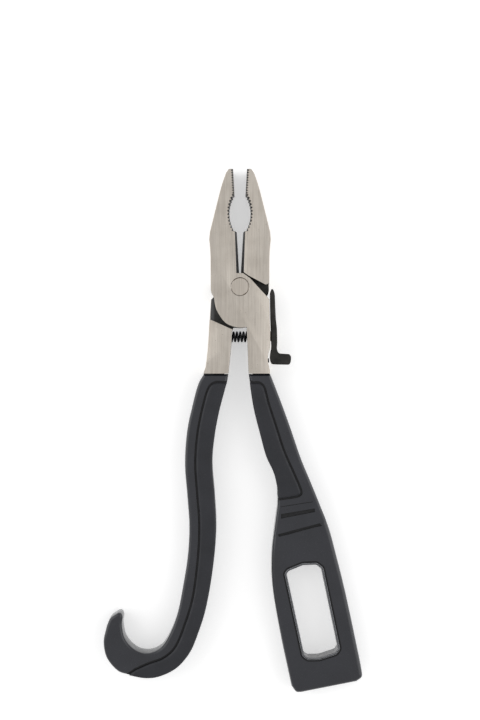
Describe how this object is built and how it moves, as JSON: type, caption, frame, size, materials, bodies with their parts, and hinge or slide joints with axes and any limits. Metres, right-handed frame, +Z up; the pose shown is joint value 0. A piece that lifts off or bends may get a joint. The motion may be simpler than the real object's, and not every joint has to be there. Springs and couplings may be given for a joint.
{
  "type": "combination pliers",
  "caption": "Spring-opened combination pliers with pipe grip, side cutter, latch lever, one hook-ended handle and one flat slotted pry handle, both coated",
  "frame": {"origin": "on the rivet's axis, in the plane that the head and grips rest on", "axes": "+X to the right with the jaws away from the viewer, +Y to the jaw tips, +Z up along the rivet"},
  "size_m": [0.1133, 0.2292, 0.0126],
  "materials": {
    "forged_steel": "brushed, warm grey",
    "rivet_steel": "ground flush",
    "spring_steel": "black spring wire",
    "black_steel": "black oxide",
    "vinyl_coating": "dipped vinyl, satin gloss",
    "grip_rubber": "soft matte rubber"
  },
  "bodies": {
    "front_body": {"front_half": "forged_steel", "slot_handle_coating": "vinyl_coating", "slot_handle_grip": "grip_rubber", "rivet": "rivet_steel", "return_spring": "spring_steel", "latch_pin": "rivet_steel", "latch_spring": "spring_steel"},
    "rear_body": {"rear_half": "forged_steel", "hook_handle_coating": "vinyl_coating", "hook_handle_grip": "grip_rubber"},
    "latch": {"latch_lever": "black_steel"}
  },
  "joints": [
    {"name": "jaw_hinge", "type": "hinge", "parent": "front_body", "child": "rear_body", "pos_m": [0, 0, 0.0063], "axis": [0, 0, 1], "range_deg": [-17.5, 6.2], "stiffness_Nm_per_rad": 0.25, "deforming": ["return_spring"]},
    {"name": "latch_hinge", "type": "hinge", "parent": "front_body", "child": "latch", "pos_m": [0.0148, -0.0215, 0.009], "axis": [0, 0, -1], "range_deg": [0, 4.5], "stiffness_Nm_per_rad": 0.02, "springref_deg": -5.73, "deforming": ["latch_spring"]}
  ]
}
